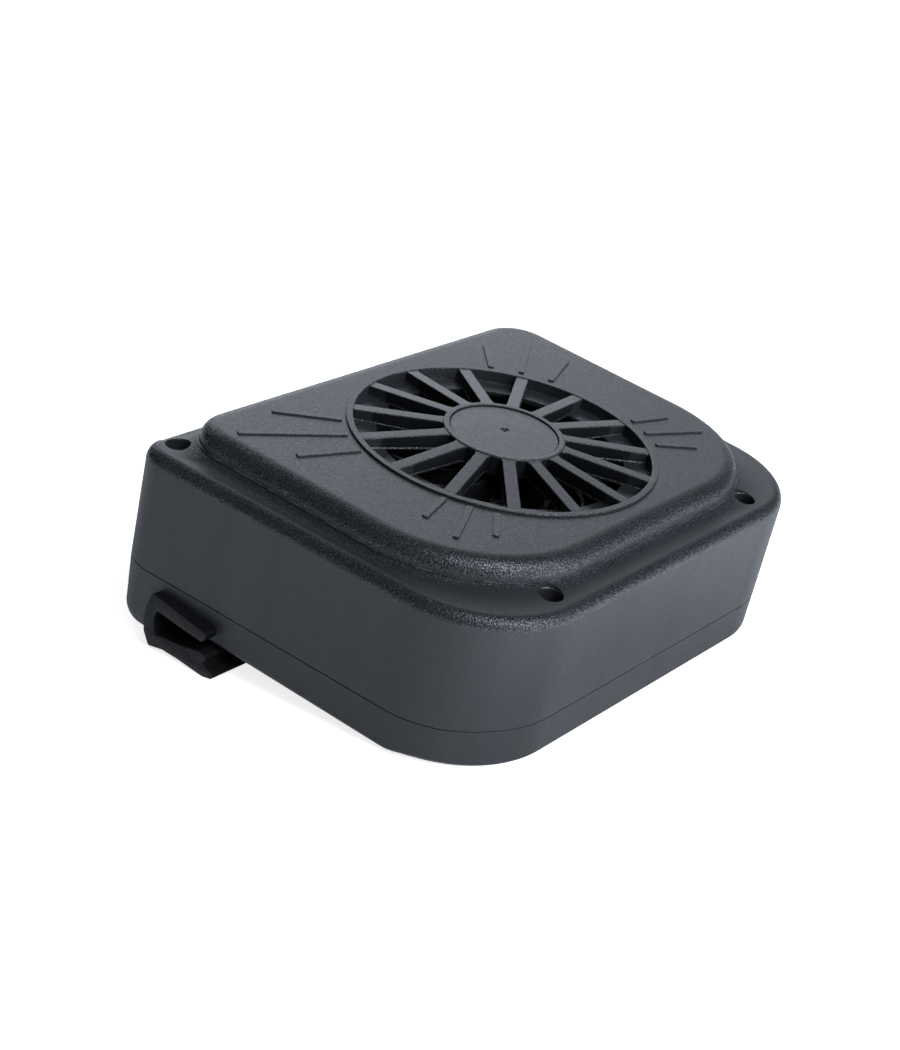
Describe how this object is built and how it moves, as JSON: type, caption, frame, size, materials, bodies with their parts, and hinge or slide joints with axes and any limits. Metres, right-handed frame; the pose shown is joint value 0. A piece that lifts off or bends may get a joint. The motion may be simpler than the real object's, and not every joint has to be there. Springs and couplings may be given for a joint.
{
  "type": "solar car window vent fan",
  "caption": "Solar-powered vent fan for a car side window: dark plastic case with a round spoked intake grille, a solar panel on its back, a glass-edge channel and an exhaust hood.",
  "frame": {"origin": "on the fan axis, in the plane of the solar face that lies against the window glass", "axes": "+X along the top edge of the window glass, +Y up along the glass towards the exhaust hood, +Z along the fan axis out of the intake grille, into the car"},
  "size_m": [0.161, 0.1117, 0.0584],
  "materials": {
    "case": "fine-grained satin dark grey ABS",
    "channel": "matte black extruded rubber",
    "window": "clear glossy sheet over the cells",
    "cells": "dark blue laminated cells with fine silver lines",
    "inner": "satin black moulding",
    "impeller": "semi-gloss black moulding",
    "steel": "zinc-plated",
    "can": "plated drawn steel",
    "magnet": "matte ferrite",
    "copper": "enamelled copper winding",
    "brass": "stamped brass",
    "bush": "sintered bronze",
    "endcap": "natural nylon",
    "wire_red": "insulated wire",
    "wire_black": "insulated wire"
  },
  "bodies": {
    "case": {"back_cover": "case", "bush_lower": "bush", "bush_upper": "bush", "case_screw_1": "steel", "case_screw_2": "steel", "case_screw_3": "steel", "case_screw_4": "steel", "fan_housing": "inner", "front_cover": "case", "housing_screw_1": "steel", "housing_screw_2": "steel", "housing_screw_3": "steel", "housing_screw_4": "steel", "magnet_north": "magnet", "magnet_south": "magnet", "motor_can": "can", "motor_end_cap": "endcap", "motor_screw_1": "steel", "motor_screw_2": "steel", "solar_cells": "cells", "solar_window": "window", "terminal_negative": "brass", "terminal_positive": "brass", "window_channel": "channel", "wire_black": "wire_black", "wire_red": "wire_red"},
    "rotor": {"impeller": "impeller", "motor_shaft": "steel", "armature": "copper", "commutator": "brass"}
  },
  "joints": [
    {"name": "impeller_spin", "type": "hinge", "parent": "case", "child": "rotor", "pos_m": [0, 0, 0.03], "axis": [0, 0, 1], "continuous": true}
  ]
}
